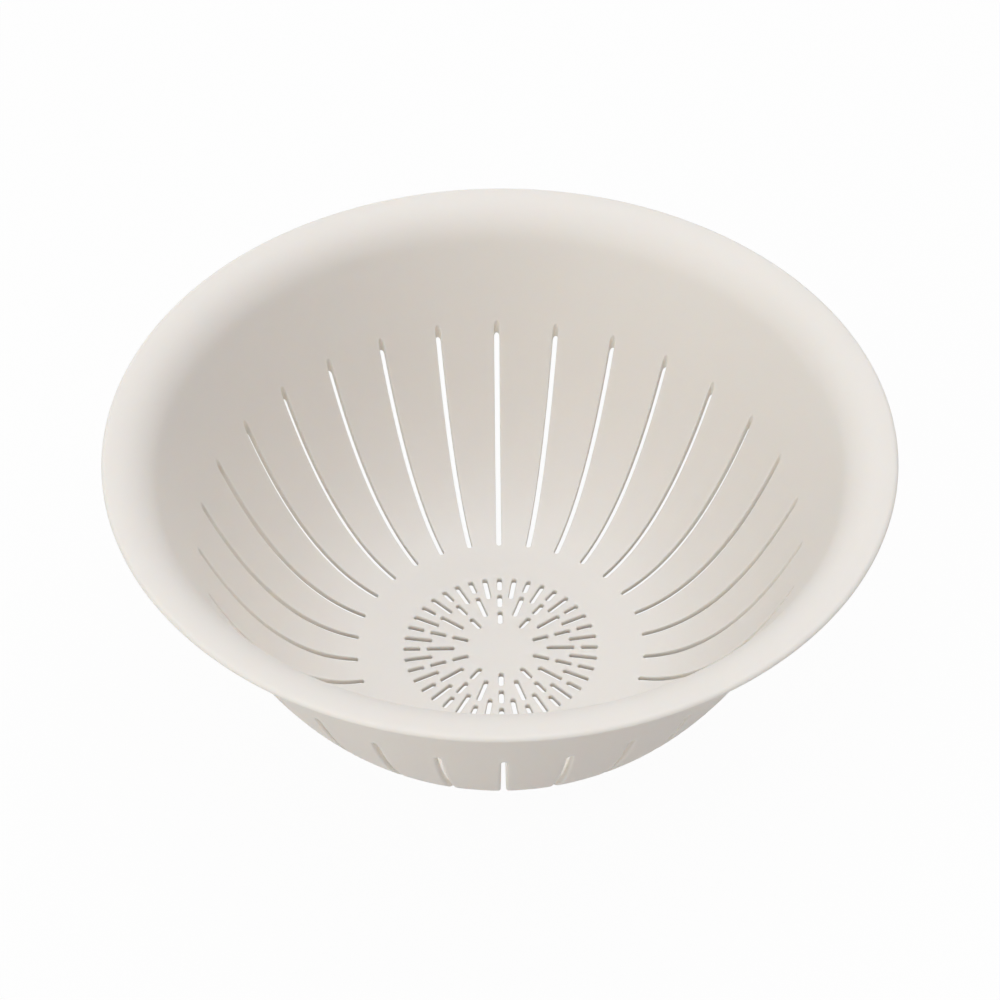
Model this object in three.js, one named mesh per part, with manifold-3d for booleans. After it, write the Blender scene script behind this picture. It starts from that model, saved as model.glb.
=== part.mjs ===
// A round kitchen colander moulded in one piece: a bowl with a level floor, a steep wall and a soft
// rolled lip. Narrow slits run down the wall, a rosette of short slits drains the floor, and a low
// foot ring keeps the floor off the worktop. Millimetres, +Z up, origin on the resting plane.
import * as THREE from "three";
import { mergeVertices } from "three/addons/utils/BufferGeometryUtils.js";
import Module from "manifold-3d";

// Bowl
const rimRadius = 125; // outer edge of the lip
const bowlDepth = 95.1; // from the floor inside to the top of the lip
const wall = 2.3; // thickness of floor, wall and lip
const floorRadius = 41.8; // level part of the floor inside
const wallAngle = 68.1; // degrees from level, on the straight upper wall
const straightFrom = 55.5; // height above the floor where the straight wall begins
const bendPull = 27.5; // how far the floor and the wall lead into the bend between them
const lipRadius = 15.3; // bend from the wall into the lip, on the inside
const lipLevel = 3; // level band at the outer edge of the lip

// Wall slits, cut along the mould's draw, so they run straight up and down through the wall
const wallSlitWidth = 1.75;
const wallSlits = 30;
const slitTopHeight = 59.3; // upper ends, above the floor
const slitFootStep = 5.75; // lower ends, outside the level floor

// Floor rosette: each spoke lists the slits of its rows, from the outer row inwards
const floorSlitWidth = 1.65;
const rosetteRadius = 32.4; // outer ends of the outer row
const rowPitch = 7.75;
const shortSlit = 5.65;
const longSlit = 9.35;
const spokePattern = [[shortSlit, shortSlit, shortSlit], [longSlit], [shortSlit, longSlit], [longSlit]];
const patternRepeats = 10;

// Foot ring, open in places so that water runs out from under the floor
const footHeight = 3;
const footWidth = 2.4;
const footClearance = 6.5; // between the rosette and the ring
const footArcs = 6;
const footGap = 8; // width of each opening in the ring

// Fineness of the round shapes
const facets = 2 * wallSlits; // facets round the bowl, so that each slit lies in the middle of one
const bendSteps = 7;
const lipSteps = 4;
const edgeSteps = 4;
const slitEndSteps = 4;
const footSteps = 5;
const overcut = 1; // cutters pass this far beyond what they cut
const weldDistance = 1e-4; // corners closer than this are one

const radians = THREE.MathUtils.degToRad;
const floorTop = footHeight + wall;
const rimTop = floorTop + bowlDepth;

const material = new THREE.MeshStandardMaterial({ color: 0xe6e1da, roughness: 0.55, metalness: 0 });

const wasm = await Module();
wasm.setup();

// Points of the inner surface from the edge of the level floor to the edge of the lip, each with
// the direction that points out of the material on that side.
function innerSurface() {
  const slope = radians(wallAngle);
  const along = new THREE.Vector2(Math.cos(slope), Math.sin(slope));
  const lipCentre = new THREE.Vector2(rimRadius - lipLevel, rimTop - lipRadius);
  const lipStart = lipCentre
    .clone()
    .add(new THREE.Vector2(-Math.sin(slope), Math.cos(slope)).multiplyScalar(lipRadius));
  const straightFoot = floorTop + straightFrom;
  const straightStart = lipStart
    .clone()
    .addScaledVector(along, -(lipStart.y - straightFoot) / Math.sin(slope));
  const floorEdge = new THREE.Vector2(floorRadius, floorTop);
  const bend = new THREE.CubicBezierCurve(
    floorEdge,
    new THREE.Vector2(floorEdge.x + bendPull, floorEdge.y),
    straightStart.clone().addScaledVector(along, -bendPull),
    straightStart,
  );
  const surface = [];
  for (let i = 0; i <= bendSteps; i++) {
    const tangent = bend.getTangent(i / bendSteps);
    surface.push({
      point: bend.getPoint(i / bendSteps),
      normal: new THREE.Vector2(-tangent.y, tangent.x),
    });
  }
  for (let i = 0; i <= lipSteps; i++) {
    const angle = slope * (1 - i / lipSteps);
    const normal = new THREE.Vector2(-Math.sin(angle), Math.cos(angle));
    surface.push({ point: lipCentre.clone().addScaledVector(normal, lipRadius), normal });
  }
  return surface;
}

// The bowl's closed outline: along the underside from the axis to the lip, round the lip's edge and
// back along the inside to the axis.
function bowlOutline(surface) {
  const outside = surface.map(({ point, normal }) => point.clone().addScaledVector(normal, -wall));
  const inside = surface.map(({ point }) => point).reverse();
  const edge = [];
  for (let i = 0; i <= edgeSteps; i++) {
    const angle = Math.PI * (i / edgeSteps - 0.5);
    edge.push(
      new THREE.Vector2(
        rimRadius - wall / 2 + (wall / 2) * Math.cos(angle),
        rimTop - wall / 2 + (wall / 2) * Math.sin(angle),
      ),
    );
  }
  const underside = new THREE.Vector2(0, footHeight);
  const floorCentre = new THREE.Vector2(0, floorTop);
  return [underside, ...outside, ...edge, ...inside, floorCentre];
}

// Radius of the inner surface at a height, measured between the points of its outline.
function innerRadiusAt(surface, height) {
  const above = surface.findIndex(({ point }) => point.y >= height && point.y > floorTop);
  const low = surface[above - 1].point;
  const high = surface[above].point;
  return THREE.MathUtils.mapLinear(height, low.y, high.y, low.x, high.x);
}

// A closed solid from a geometry, with the corners of touching triangles joined into one.
function solidOf(geometry) {
  const bare = geometry.clone();
  bare.deleteAttribute("normal");
  bare.deleteAttribute("uv");
  const merged = mergeVertices(bare, weldDistance);
  const corners = merged.index.array;
  const kept = [];
  for (let i = 0; i < corners.length; i += 3) {
    const [a, b, c] = [corners[i], corners[i + 1], corners[i + 2]];
    if (a !== b && b !== c && c !== a) kept.push(a, b, c);
  }
  return new wasm.Manifold(
    new wasm.Mesh({
      numProp: 3,
      vertProperties: merged.getAttribute("position").array,
      triVerts: Uint32Array.from(kept),
    }),
  );
}

function geometryOf(solid) {
  const { vertProperties, triVerts } = solid.getMesh();
  const geometry = new THREE.BufferGeometry();
  geometry.setAttribute("position", new THREE.BufferAttribute(vertProperties, 3));
  geometry.setIndex(new THREE.BufferAttribute(triVerts, 1));
  const flat = geometry.toNonIndexed();
  flat.computeVertexNormals();
  return flat;
}

// The turned bowl. Its facets touch the true circles at their middles, where the slits lie, and
// their corners stand just outside.
function bowl(surface) {
  const halfFacet = Math.PI / facets;
  const turned = new THREE.LatheGeometry(bowlOutline(surface), facets, halfFacet);
  turned.scale(1 / Math.cos(halfFacet), 1, 1 / Math.cos(halfFacet));
  return solidOf(turned.rotateX(Math.PI / 2));
}

// One arc of the foot ring, standing on the resting plane and reaching into the floor.
function footArc(turn) {
  const inner = rosetteRadius + footClearance;
  const outer = inner + footWidth;
  const half = Math.PI / footArcs - footGap / (inner + outer);
  const section = new THREE.Shape();
  section.absarc(0, 0, outer, turn - half, turn + half, false);
  section.absarc(0, 0, inner, turn + half, turn - half, true);
  const reach = footHeight + wall / 2;
  return solidOf(
    new THREE.ExtrudeGeometry(section, {
      depth: reach,
      bevelEnabled: false,
      curveSegments: footSteps,
    }),
  );
}

// A cutter for one slit with round ends, straight up and down, on the spoke at an angle from +Y.
function slit(width, inner, outer, angle, height) {
  const end = width / 2;
  const plan = new THREE.Shape();
  plan.absarc(0, outer - end, end, 0, Math.PI, false);
  plan.absarc(0, inner + end, end, Math.PI, 2 * Math.PI, false);
  const cutter = new THREE.ExtrudeGeometry(plan, {
    depth: height + 2 * overcut,
    bevelEnabled: false,
    curveSegments: slitEndSteps / 2,
  });
  cutter.translate(0, 0, -overcut);
  cutter.rotateZ(angle);
  return solidOf(cutter);
}

function wallSlitCutters(surface) {
  const inner = floorRadius + slitFootStep;
  const outer = innerRadiusAt(surface, floorTop + slitTopHeight);
  const cutters = [];
  for (let i = 0; i < wallSlits; i++) {
    cutters.push(slit(wallSlitWidth, inner, outer, (2 * Math.PI * i) / wallSlits, rimTop));
  }
  return cutters;
}

function rosetteCutters() {
  const spokes = spokePattern.length * patternRepeats;
  const cutters = [];
  for (let i = 0; i < spokes; i++) {
    const rows = spokePattern[i % spokePattern.length];
    rows.forEach((length, row) => {
      const outer = rosetteRadius - row * rowPitch;
      const angle = (2 * Math.PI * i) / spokes;
      cutters.push(slit(floorSlitWidth, outer - length, outer, angle, floorTop));
    });
  }
  return cutters;
}

function colander() {
  const surface = innerSurface();
  let body = bowl(surface);
  for (let i = 0; i < footArcs; i++) {
    body = body.add(footArc((2 * Math.PI * (i + 0.5)) / footArcs));
  }
  const cutters = wasm.Manifold.union([...wallSlitCutters(surface), ...rosetteCutters()]);
  const mesh = new THREE.Mesh(geometryOf(body.subtract(cutters)), material);
  mesh.name = "colander_bowl";
  return mesh;
}

const group = new THREE.Group();
group.add(colander());

export default group;
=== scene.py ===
"""A one-piece moulded colander: its fine surface, finish, light and camera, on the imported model."""
import math

import bmesh
import bpy
import numpy as np
from mathutils import Euler, Matrix, Vector
from mathutils.geometry import delaunay_2d_cdt


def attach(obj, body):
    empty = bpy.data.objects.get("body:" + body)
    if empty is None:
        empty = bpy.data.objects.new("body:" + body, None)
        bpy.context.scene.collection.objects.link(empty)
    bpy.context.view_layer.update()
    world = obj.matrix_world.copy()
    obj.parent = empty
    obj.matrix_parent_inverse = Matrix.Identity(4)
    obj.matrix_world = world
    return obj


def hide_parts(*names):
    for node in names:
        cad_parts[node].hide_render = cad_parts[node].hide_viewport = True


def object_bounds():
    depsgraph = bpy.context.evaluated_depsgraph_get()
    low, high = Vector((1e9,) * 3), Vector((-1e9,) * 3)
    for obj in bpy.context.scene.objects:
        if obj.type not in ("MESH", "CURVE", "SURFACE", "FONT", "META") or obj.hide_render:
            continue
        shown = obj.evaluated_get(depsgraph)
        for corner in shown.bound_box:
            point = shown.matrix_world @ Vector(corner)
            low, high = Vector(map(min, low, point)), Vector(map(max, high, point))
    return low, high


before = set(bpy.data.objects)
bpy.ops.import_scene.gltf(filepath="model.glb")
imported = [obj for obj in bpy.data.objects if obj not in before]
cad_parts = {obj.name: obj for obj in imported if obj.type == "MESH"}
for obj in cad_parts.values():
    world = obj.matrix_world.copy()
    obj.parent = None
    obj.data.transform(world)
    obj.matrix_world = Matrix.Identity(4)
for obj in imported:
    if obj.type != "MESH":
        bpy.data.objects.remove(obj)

MM = 0.001
WELD_DISTANCE = 2e-6     # points of the mesh closer than this, in metres, are one
PLAN_WELD = 1e-6         # the same for the plan of the floor, in millimetres
cad_low, cad_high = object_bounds()

# The moulding, in millimetres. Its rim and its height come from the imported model.
RIM_RADIUS = (cad_high[0] - cad_low[0]) / 2 / MM
RIM_TOP = cad_high[2] / MM
WALL = 2.3
FOOT_HEIGHT = 3.0
FLOOR_TOP = FOOT_HEIGHT + WALL
FLOOR_RADIUS = 41.8
WALL_ANGLE = math.radians(68.1)
STRAIGHT_FROM = FLOOR_TOP + 55.5
BEND_PULL = 27.5
LIP_RADIUS = 15.3
LIP_LEVEL = 3.0
EDGE_REACH = 1.6         # the lip's edge rounds off over this width
BELOW_LIP = 106.5        # radius, seen from above, just inside the bend into the lip

# Slits
WALL_SLIT_WIDTH = 1.75
WALL_SLITS = 30
SLIT_TOP = FLOOR_TOP + 59.3
SLIT_FOOT = FLOOR_RADIUS + 5.75
FLOOR_SLIT_WIDTH = 1.65
ROSETTE_RADIUS = 32.4
ROW_PITCH = 7.75
SHORT, LONG = 5.65, 9.35
SPOKES = ((SHORT, SHORT, SHORT), (LONG,), (SHORT, LONG), (LONG,))
PATTERN_REPEATS = 10
# Rounding of the slits' edges: how wide along their sides, how wide round their ends, and how deep
INSIDE_ROUND = (0.25, 0.25, 0.22)
OUTSIDE_ROUND = (0.6, 0.45, 0.55)
FLOOR_ROUND = (0.4, 0.4, 0.35)
UNDER_ROUND = (0.45, 0.45, 0.4)
ROUNDNESS = 1.5          # 1 for a round edge, 2 for a flat bevel

# Foot ring
FOOT_WIDTH = 2.4
FOOT_CLEARANCE = 6.5     # between the rosette and the ring
FOOT_MIDDLE = ROSETTE_RADIUS + FOOT_CLEARANCE + FOOT_WIDTH / 2
FOOT_ARCS = 6
FOOT_GAP = 8.0
FOOT_EDGE = 0.4          # rounding of its lower edges
FOOT_LEAN = 0.04         # how far its sides lean out towards the floor
FOOT_FILLET = 0.8

# Fineness
COLUMNS = 240            # steps round the lip and round every join between two regions
SIDE_STEPS = 26          # along each side of a wall slit
END_STEPS = COLUMNS // WALL_SLITS
SHORT_STEPS = 3          # along each side of a short floor slit
LONG_STEPS = 5           # and of a long one
ROUND_STEPS = 3          # across the rounding of a slit's edge
BEVEL_STEPS = 6          # the same on the outside of the wall
LEAD_STEPS = 2           # from the slit wall to the lip
LIP_STEPS = 14           # across the bend into the lip
EDGE_STEPS = 12          # round the lip's edge
FOOT_ROUND_STEPS = 4     # across the rounding of the foot's lower edges
FOOT_FILLET_STEPS = 5    # across its fillets
FOOT_END_STEPS = 8       # round each end of an arc
FOOT_SIDE_STEPS = 32     # and along each side
BEND_SAMPLES = 401       # points of the profile on the bend of the wall
LIP_SAMPLES = 201        # and on the bend into the lip
FLOOR_JOIN = 44.5        # radius, seen from above, where the floor meets the slit wall
LIP_JOIN = 101.0         # and where the slit wall meets the lip
# Rings between a wall slit and the edge of its share of the wall, as shares of the way
INSIDE_SPREAD = (0.04, 0.14, 0.34, 0.64, 1.0)
OUTSIDE_SPREAD = (0.1, 0.35, 0.67, 1.0)
# Rings of the floor's faces: radius and number of points
OUTER_RINGS = ((FLOOR_JOIN, COLUMNS), (FLOOR_JOIN - 1.0, COLUMNS))
UPPER_RINGS = ((FLOOR_RADIUS, COLUMNS), (38.0, 120), (ROSETTE_RADIUS + 2.0, 120))
LOWER_RINGS = ((ROSETTE_RADIUS + 2.5, 120),)
MIDDLE_RINGS = ((8.0, 40), (4.0, 20))


def samples(start, end, steps):
    return [start + (end - start) * i / steps for i in range(steps + 1)]


class Profile:
    """The inner and outer surfaces of the shell as heights over the radius seen from above."""

    def __init__(self):
        sine, cosine = math.sin(WALL_ANGLE), math.cos(WALL_ANGLE)
        self.lip_centre = (RIM_RADIUS - LIP_LEVEL, RIM_TOP - LIP_RADIUS)
        start_r = self.lip_centre[0] - LIP_RADIUS * sine
        start_z = self.lip_centre[1] + LIP_RADIUS * cosine
        straight_r = start_r - (start_z - STRAIGHT_FROM) * cosine / sine
        corners = np.array([
            (FLOOR_RADIUS, FLOOR_TOP),
            (FLOOR_RADIUS + BEND_PULL, FLOOR_TOP),
            (straight_r - BEND_PULL * cosine, STRAIGHT_FROM - BEND_PULL * sine),
            (straight_r, STRAIGHT_FROM),
        ])
        t = np.linspace(0.0, 1.0, BEND_SAMPLES)[:, None]
        bend = ((1 - t) ** 3 * corners[0] + 3 * t * (1 - t) ** 2 * corners[1]
                + 3 * t * t * (1 - t) * corners[2] + t ** 3 * corners[3])
        way = ((1 - t) ** 2 * (corners[1] - corners[0])
               + 2 * t * (1 - t) * (corners[2] - corners[1])
               + t * t * (corners[3] - corners[2]))
        slope = np.arctan2(way[:, 1], way[:, 0])
        turn = np.linspace(WALL_ANGLE, 0.0, LIP_SAMPLES)
        r = np.concatenate([
            [0.0], bend[:, 0], self.lip_centre[0] - LIP_RADIUS * np.sin(turn),
        ])
        z = np.concatenate([
            [FLOOR_TOP], bend[:, 1], self.lip_centre[1] + LIP_RADIUS * np.cos(turn),
        ])
        self.slope = np.concatenate([[0.0], slope, turn])
        self.inner = (r, z)
        self.outer = (r + WALL * np.sin(self.slope), z - WALL * np.cos(self.slope))

    def height(self, radius, inside):
        r, z = self.inner if inside else self.outer
        return np.interp(radius, r, z)

    def slope_at(self, radius, inside):
        r = (self.inner if inside else self.outer)[0]
        return np.interp(radius, r, self.slope)

    def radius_at(self, height):
        """Radius of the inner wall at a height."""
        r, z = self.inner
        rising = z > FLOOR_TOP
        return float(np.interp(height, z[rising], r[rising]))


class Shell:
    """Points and faces of the mesh, gathered region by region and joined where they meet."""

    def __init__(self):
        self.points = []
        self.faces = []

    def add(self, points):
        first = len(self.points)
        self.points.extend(map(tuple, points))
        return first

    def ring_strip(self, rows):
        """Quads between closed rows of equally many points."""
        count = len(rows[0])
        starts = [self.add(row) for row in rows]
        for a, b in zip(starts, starts[1:]):
            for i in range(count):
                j = (i + 1) % count
                self.faces.append((a + i, a + j, b + j, b + i))

    def mesh(self, name):
        mesh = bpy.data.meshes.new(name)
        mesh.from_pydata([tuple(c * MM for c in p) for p in self.points], [], self.faces)
        work = bmesh.new()
        work.from_mesh(mesh)
        bmesh.ops.remove_doubles(work, verts=work.verts, dist=WELD_DISTANCE)
        bmesh.ops.recalc_face_normals(work, faces=work.faces)
        for face in work.faces:
            face.smooth = True
        open_edges = sum(1 for edge in work.edges if len(edge.link_faces) != 2)
        print("shell:", len(work.verts), "points,", open_edges, "open edges")
        work.to_mesh(mesh)
        work.free()
        return mesh


def turned(points, angle):
    """Plan points turned about the axis, anticlockwise."""
    c, s = math.cos(angle), math.sin(angle)
    x, y = points[..., 0], points[..., 1]
    return np.stack([c * x - s * y, s * x + c * y], -1)


def slit_loop(width, inner, outer, side_steps):
    """Plan points round a slit on the +Y spoke, and the way out of the slit at each."""
    half = width / 2
    low, high = inner + half, outer - half
    up = [low + (high - low) * i / side_steps for i in range(side_steps)]
    angles = [math.pi * i / END_STEPS for i in range(END_STEPS)]
    points = [(half, y) for y in up]
    points += [(half * math.cos(a), high + half * math.sin(a)) for a in angles]
    points += [(-half, low + high - y) for y in up]
    points += [(-half * math.cos(a), low - half * math.sin(a)) for a in angles]
    ways = [(1.0, 0.0)] * side_steps + [(math.cos(a), math.sin(a)) for a in angles]
    ways += [(-1.0, 0.0)] * side_steps + [(-math.cos(a), -math.sin(a)) for a in angles]
    return np.array(points), np.array(ways)


def cell_loop(side_steps):
    """Plan points round a wall slit's share of the wall, one for each point of its slit loop."""
    half = math.pi / WALL_SLITS
    radii = [FLOOR_JOIN + (LIP_JOIN - FLOOR_JOIN) * i / side_steps for i in range(side_steps)]
    fan = [half * (1 - 2 * i / END_STEPS) for i in range(END_STEPS)]
    points = [(r * math.sin(half), r * math.cos(half)) for r in radii]
    points += [(LIP_JOIN * math.sin(a), LIP_JOIN * math.cos(a)) for a in fan]
    back = [FLOOR_JOIN + LIP_JOIN - r for r in radii]
    points += [(-r * math.sin(half), r * math.cos(half)) for r in back]
    points += [(-FLOOR_JOIN * math.sin(a), FLOOR_JOIN * math.cos(a)) for a in fan]
    return np.array(points)


def rounding(sizes, ways, steps):
    """How far from a slit's edge, and how far below the surface, each line of its rounding lies."""
    side, end, depth = sizes
    share = ways[:, 0] ** 2
    width = end + (side - end) * share
    deep = width * depth / side
    angles = [math.pi / 2 * i / steps for i in range(steps + 1)]
    return [(width * (1 - math.cos(a) ** ROUNDNESS), deep * (1 - math.sin(a) ** ROUNDNESS))
            for a in angles]


def wall_rows(profile, inside, sizes, round_steps, spread):
    """Rows of points from a wall slit's edge out to the edge of its cell, on one surface."""
    loop, ways = slit_loop(WALL_SLIT_WIDTH, SLIT_FOOT, profile.radius_at(SLIT_TOP), SIDE_STEPS)
    cell = cell_loop(SIDE_STEPS)
    slope = profile.slope_at(np.hypot(*loop.T), inside)
    stretch = np.hypot(ways[:, 1] / np.cos(slope), ways[:, 0])
    side = -1 if inside else 1
    rows = [(loop + ways * (distance / stretch)[:, None], depth)
            for distance, depth in rounding(sizes, ways, round_steps)]
    edge = rows[-1][0]
    rows += [(edge + (cell - edge) * share, 0.0) for share in spread]
    placed = []
    for plan, depth in rows:
        radius = np.hypot(*plan.T)
        height = profile.height(radius, inside)
        height = height + side * depth / np.cos(profile.slope_at(radius, inside))
        placed.append((plan, height))
    return placed


def add_wall(shell, profile):
    inside = wall_rows(profile, True, INSIDE_ROUND, ROUND_STEPS, INSIDE_SPREAD)
    outside = wall_rows(profile, False, OUTSIDE_ROUND, BEVEL_STEPS, OUTSIDE_SPREAD)
    rows = inside[::-1] + outside
    for i in range(WALL_SLITS):
        angle = 2 * math.pi * i / WALL_SLITS
        shell.ring_strip([
            np.column_stack([turned(plan, angle), height]) for plan, height in rows
        ])


def circle(radius, height, columns=COLUMNS):
    angles = np.arange(columns) * 2 * math.pi / columns
    x, y = -radius * np.sin(angles), radius * np.cos(angles)
    return np.stack([x, y, np.full(columns, height)], -1)


def add_lip(shell, profile):
    """From the slit wall inside, over the lip and its round edge, to the slit wall outside."""
    centre_r, centre_z = profile.lip_centre
    lead = samples(LIP_JOIN, BELOW_LIP, LEAD_STEPS)
    outline = [(r, float(profile.height(r, True))) for r in lead]
    for angle in samples(WALL_ANGLE, 0.0, LIP_STEPS):
        outline.append((
            centre_r - LIP_RADIUS * math.sin(angle),
            centre_z + LIP_RADIUS * math.cos(angle),
        ))
    for angle in samples(math.pi / 2, -math.pi / 2, EDGE_STEPS):
        outline.append((
            RIM_RADIUS - EDGE_REACH + EDGE_REACH * math.cos(angle),
            RIM_TOP - WALL / 2 + WALL / 2 * math.sin(angle),
        ))
    under = LIP_RADIUS - WALL
    for angle in samples(0.0, WALL_ANGLE, LIP_STEPS):
        outline.append((centre_r - under * math.sin(angle), centre_z + under * math.cos(angle)))
    outline += [(r, float(profile.height(r, False))) for r in reversed(lead)]
    shell.ring_strip([circle(r, z) for r, z in outline])


def rosette():
    """Loops of all floor slits, with the way out of the slit at each point."""
    spokes = len(SPOKES) * PATTERN_REPEATS
    loops = []
    for i in range(spokes):
        for row, length in enumerate(SPOKES[i % len(SPOKES)]):
            outer = ROSETTE_RADIUS - row * ROW_PITCH
            steps = SHORT_STEPS if length == SHORT else LONG_STEPS
            loop, ways = slit_loop(FLOOR_SLIT_WIDTH, outer - length, outer, steps)
            angle = 2 * math.pi * i / spokes
            loops.append((turned(loop, angle), turned(ways, angle), ways))
    return loops


def arc(centre, radius, start, end, steps):
    """Plan points on a circle, without the last one."""
    return [(centre[0] + radius * math.cos(a), centre[1] + radius * math.sin(a))
            for a in samples(start, end, steps)[:-1]]


def foot_loops():
    """Closed lines round each foot arc, from its flat underside out to the floor, with heights."""
    half = math.pi / FOOT_ARCS - FOOT_GAP / 2 / FOOT_MIDDLE
    lines = [(FOOT_WIDTH / 2 - FOOT_EDGE * (1 - math.sin(a)), FOOT_EDGE * (1 - math.cos(a)))
             for a in samples(0.0, math.pi / 2, FOOT_ROUND_STEPS)]
    for a in samples(0.0, math.pi / 2, FOOT_FILLET_STEPS):
        lines.append((
            FOOT_WIDTH / 2 + FOOT_LEAN + FOOT_FILLET * (1 - math.cos(a)),
            FOOT_HEIGHT - FOOT_FILLET * (1 - math.sin(a)),
        ))
    axis = (0.0, 0.0)
    end = (FOOT_MIDDLE * math.cos(half), FOOT_MIDDLE * math.sin(half))
    other_end = (end[0], -end[1])
    loops = []
    for i in range(FOOT_ARCS):
        middle = 2 * math.pi * (i + 0.5) / FOOT_ARCS
        for offset, height in lines:
            points = arc(axis, FOOT_MIDDLE + offset, -half, half, FOOT_SIDE_STEPS)
            points += arc(end, offset, half, half + math.pi, FOOT_END_STEPS)
            points += arc(axis, FOOT_MIDDLE - offset, half, -half, FOOT_SIDE_STEPS)
            points += arc(other_end, offset, math.pi - half, 2 * math.pi - half, FOOT_END_STEPS)
            loops.append((turned(np.array(points), middle), height))
    return loops


def floor_side(shell, profile, inside, loops):
    """Triangles of the floor's upper or lower face. Gives back each slit's edge points."""
    points, edges, heights = [], [], []

    def add_loop(plan, height):
        first = len(points)
        points.extend(Vector(p) for p in plan)
        heights.extend(np.broadcast_to(height, len(plan)))
        edges.extend((first + i, first + (i + 1) % len(plan)) for i in range(len(plan)))
        return first

    base = FLOOR_TOP if inside else FOOT_HEIGHT
    side = -1 if inside else 1
    sizes = FLOOR_ROUND if inside else UNDER_ROUND
    firsts = []
    for loop, out, ways in loops:
        for k, (distance, depth) in enumerate(rounding(sizes, ways, ROUND_STEPS)):
            first = add_loop(loop + out * distance[:, None], base + side * depth)
            if k == 0:
                firsts.append(first)
    if not inside:
        for plan, height in foot_loops():
            add_loop(plan, height)
    for r, columns in OUTER_RINGS + (UPPER_RINGS if inside else LOWER_RINGS) + MIDDLE_RINGS:
        add_loop(circle(r, 0.0, columns)[:, :2], float(profile.height(r, inside)))

    whole_plan = 0
    verts, _, faces, origins, _, _ = delaunay_2d_cdt(points, edges, [], whole_plan, PLAN_WELD)
    where = {source: i for i, sources in enumerate(origins) for source in sources}
    start = shell.add((v[0], v[1], heights[sources[0]]) for v, sources in zip(verts, origins))
    plan = np.array([tuple(v) for v in verts])
    middles = plan[np.array(faces)].mean(1)
    open_here = np.zeros(len(faces), bool)
    for loop, *_ in loops:
        open_here |= in_slit(middles, loop)
    shell.faces.extend(
        tuple(start + i for i in face) for face, gap in zip(faces, open_here) if not gap
    )
    return [[start + where[first + i] for i in range(len(loop))]
            for first, (loop, *_) in zip(firsts, loops)]


def in_slit(places, loop):
    """Which places lie inside a slit's loop, which is convex and runs anticlockwise."""
    inside = np.ones(len(places), bool)
    for a, b in zip(loop, np.roll(loop, -1, 0)):
        edge = b - a
        inside &= edge[0] * (places[:, 1] - a[1]) - edge[1] * (places[:, 0] - a[0]) > 0
    return inside


def add_floor(shell, profile):
    loops = rosette()
    above = floor_side(shell, profile, True, loops)
    below = floor_side(shell, profile, False, loops)
    for high, low in zip(above, below):
        for i in range(len(high)):
            j = (i + 1) % len(high)
            shell.faces.append((high[i], high[j], low[j], low[i]))


def colander():
    profile = Profile()
    shell = Shell()
    add_floor(shell, profile)
    add_wall(shell, profile)
    add_lip(shell, profile)
    bowl = bpy.data.objects.new("colander_shell", shell.mesh("colander_shell"))
    bpy.context.scene.collection.objects.link(bowl)
    bowl.data.materials.append(moulded_plastic())
    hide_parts("colander_bowl")
    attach(bowl, "root")


def moulded_plastic():
    """Warm off-white polypropylene: slightly translucent, satin, with a faint mould grain."""
    material = bpy.data.materials.new("moulded_plastic")
    material.use_nodes = True
    nodes, links = material.node_tree.nodes, material.node_tree.links
    shader = nodes["Principled BSDF"]
    shader.inputs["IOR"].default_value = 1.49
    shader.inputs["Subsurface Weight"].default_value = 0.6
    shader.inputs["Subsurface Radius"].default_value = (1.0, 0.8, 0.6)
    shader.inputs["Subsurface Scale"].default_value = 0.003
    place = nodes.new("ShaderNodeTexCoord")

    tone = nodes.new("ShaderNodeTexNoise")
    tone.inputs["Scale"].default_value = 14.0
    tone.inputs["Detail"].default_value = 3.0
    links.new(place.outputs["Object"], tone.inputs["Vector"])
    mix = nodes.new("ShaderNodeMix")
    mix.data_type = "RGBA"
    mix.inputs["A"].default_value = (0.745, 0.705, 0.655, 1.0)
    mix.inputs["B"].default_value = (0.775, 0.735, 0.685, 1.0)
    links.new(tone.outputs["Fac"], mix.inputs["Factor"])
    links.new(mix.outputs["Result"], shader.inputs["Base Color"])

    grain = nodes.new("ShaderNodeTexNoise")
    grain.inputs["Scale"].default_value = 2600.0
    grain.inputs["Detail"].default_value = 2.0
    links.new(place.outputs["Object"], grain.inputs["Vector"])
    bump = nodes.new("ShaderNodeBump")
    bump.inputs["Strength"].default_value = 0.12
    bump.inputs["Distance"].default_value = 0.00005
    links.new(grain.outputs["Fac"], bump.inputs["Height"])
    links.new(bump.outputs["Normal"], shader.inputs["Normal"])

    sheen = nodes.new("ShaderNodeMapRange")
    sheen.inputs["To Min"].default_value = 0.46
    sheen.inputs["To Max"].default_value = 0.56
    links.new(tone.outputs["Fac"], sheen.inputs["Value"])
    links.new(sheen.outputs["Result"], shader.inputs["Roughness"])
    return material


def seen_ray(nodes, links):
    """1 for rays that show a surface, direct, mirrored or through glass, and 0 for the rest."""
    ray = nodes.new("ShaderNodeLightPath")
    first = nodes.new("ShaderNodeMath")
    first.operation = "MAXIMUM"
    links.new(ray.outputs["Is Camera Ray"], first.inputs[0])
    links.new(ray.outputs["Is Glossy Ray"], first.inputs[1])
    both = nodes.new("ShaderNodeMath")
    both.operation = "MAXIMUM"
    links.new(first.outputs["Value"], both.inputs[0])
    links.new(ray.outputs["Is Transmission Ray"], both.inputs[1])
    return both.outputs["Value"]


GROUND_HALF = 4.0        # metres from its middle to its sides
GROUND_GAP = 0.0002      # below the foot, in metres
GROUND_WHITE = 0.96      # share of plain white in how the ground shows


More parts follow.
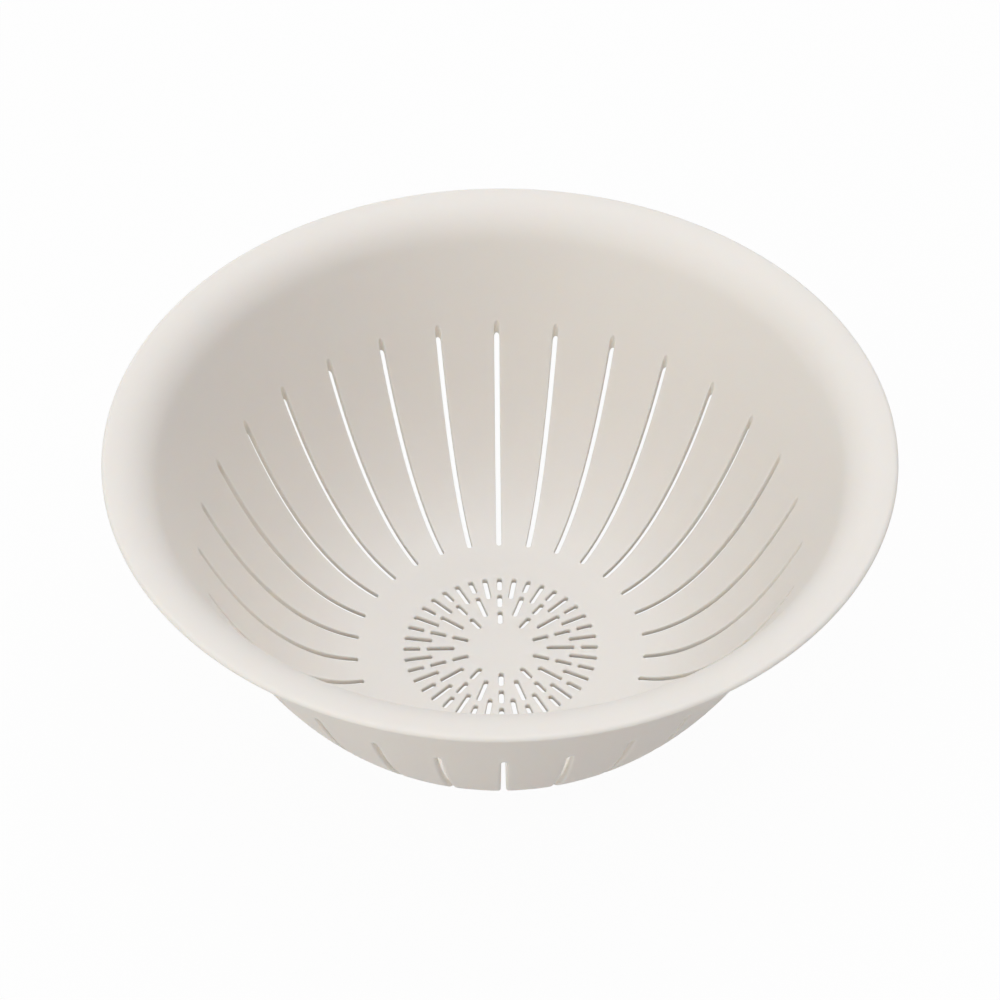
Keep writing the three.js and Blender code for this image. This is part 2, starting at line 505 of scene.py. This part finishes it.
def pale_floor():
    """A pale ground that shows as white, with a trace of the object's shadow."""
    mesh = bpy.data.meshes.new("ground")
    half = GROUND_HALF
    corners = [(-half, -half, 0), (half, -half, 0), (half, half, 0), (-half, half, 0)]
    mesh.from_pydata(corners, [], [(0, 1, 2, 3)])
    ground = bpy.data.objects.new("ground", mesh)
    bpy.context.scene.collection.objects.link(ground)
    ground.location.z = -GROUND_GAP
    material = bpy.data.materials.new("ground")
    material.use_nodes = True
    nodes, links = material.node_tree.nodes, material.node_tree.links
    surface = nodes["Principled BSDF"]
    surface.inputs["Base Color"].default_value = (0.72, 0.70, 0.68, 1.0)
    surface.inputs["Roughness"].default_value = 0.9
    surface.inputs["Specular IOR Level"].default_value = 0.0
    white = nodes.new("ShaderNodeEmission")
    white.inputs["Color"].default_value = (1.0, 1.0, 1.0, 1.0)
    white.inputs["Strength"].default_value = 1.0
    share = nodes.new("ShaderNodeMath")
    share.operation = "MULTIPLY"
    share.inputs[1].default_value = GROUND_WHITE
    links.new(seen_ray(nodes, links), share.inputs[0])
    both = nodes.new("ShaderNodeMixShader")
    links.new(share.outputs["Value"], both.inputs["Fac"])
    links.new(surface.outputs["BSDF"], both.inputs[1])
    links.new(white.outputs["Emission"], both.inputs[2])
    links.new(both.outputs["Shader"], nodes["Material Output"].inputs["Surface"])
    mesh.materials.append(material)


COOL = (0.888, 0.917, 1.0)           # light from above and around
WARM = (0.985, 0.998, 0.955)         # light from the sides
PANEL_SPREAD = math.radians(70.0)    # how broad each light looks from the object


def soft_light(name, azimuth, elevation, strength, colour):
    """Even light from a broad panel. Azimuth is anticlockwise from +X; both angles in degrees."""
    light = bpy.data.lights.new(name, "SUN")
    light.energy = strength
    light.angle = PANEL_SPREAD
    light.color = colour
    lamp = bpy.data.objects.new(name, light)
    turn, rise = math.radians(azimuth), math.radians(elevation)
    way = Vector((math.cos(turn) * math.cos(rise), math.sin(turn) * math.cos(rise), math.sin(rise)))
    lamp.rotation_euler = way.to_track_quat("Z", "Y").to_euler()
    bpy.context.scene.collection.objects.link(lamp)


def studio():
    world = bpy.data.worlds.new("studio")
    bpy.context.scene.world = world
    world.use_nodes = True
    nodes, links = world.node_tree.nodes, world.node_tree.links
    soft = nodes["Background"]
    soft.inputs["Color"].default_value = (*COOL, 1.0)
    soft.inputs["Strength"].default_value = 0.275
    white = nodes.new("ShaderNodeBackground")
    white.inputs["Color"].default_value = (1.0, 1.0, 1.0, 1.0)
    white.inputs["Strength"].default_value = 1.0
    both = nodes.new("ShaderNodeMixShader")
    links.new(seen_ray(nodes, links), both.inputs["Fac"])
    links.new(soft.outputs["Background"], both.inputs[1])
    links.new(white.outputs["Background"], both.inputs[2])
    links.new(both.outputs["Shader"], nodes["World Output"].inputs["Surface"])
    soft_light("overhead", 0.0, 90.0, 1.13, COOL)
    soft_light("left_front", 225.0, 22.0, 1.42, WARM)
    soft_light("back", 90.0, 50.0, 0.765, WARM)
    soft_light("right", 0.0, 50.0, 0.34, WARM)


# The photograph's view: a long lens, looking down on the bowl from the front
LENS_MM = 127.58
SENSOR_MM = 36.0
CAMERA_DISTANCE = 1.1322
CAMERA_ELEVATION = math.radians(44.61)
CAMERA_TURN = math.radians(-0.538)
CAMERA_ROLL = math.radians(-0.235)
AIM_HEIGHT = 0.0744


def camera():
    lens = bpy.data.cameras.new("camera")
    lens.lens = LENS_MM
    lens.sensor_width = SENSOR_MM
    lens.sensor_fit = "HORIZONTAL"
    lens.clip_start = 0.05
    view = bpy.data.objects.new("camera", lens)
    out = math.cos(CAMERA_ELEVATION) * CAMERA_DISTANCE
    view.location = (
        out * math.sin(CAMERA_TURN),
        -out * math.cos(CAMERA_TURN),
        AIM_HEIGHT + math.sin(CAMERA_ELEVATION) * CAMERA_DISTANCE,
    )
    level = Euler((math.pi / 2 - CAMERA_ELEVATION, 0.0, CAMERA_TURN)).to_matrix()
    view.rotation_euler = (level @ Matrix.Rotation(CAMERA_ROLL, 3, "Z")).to_euler()
    bpy.context.scene.collection.objects.link(view)
    bpy.context.scene.camera = view


camera()
colander()
pale_floor()
studio()
bpy.context.scene.view_settings.view_transform = "Standard"
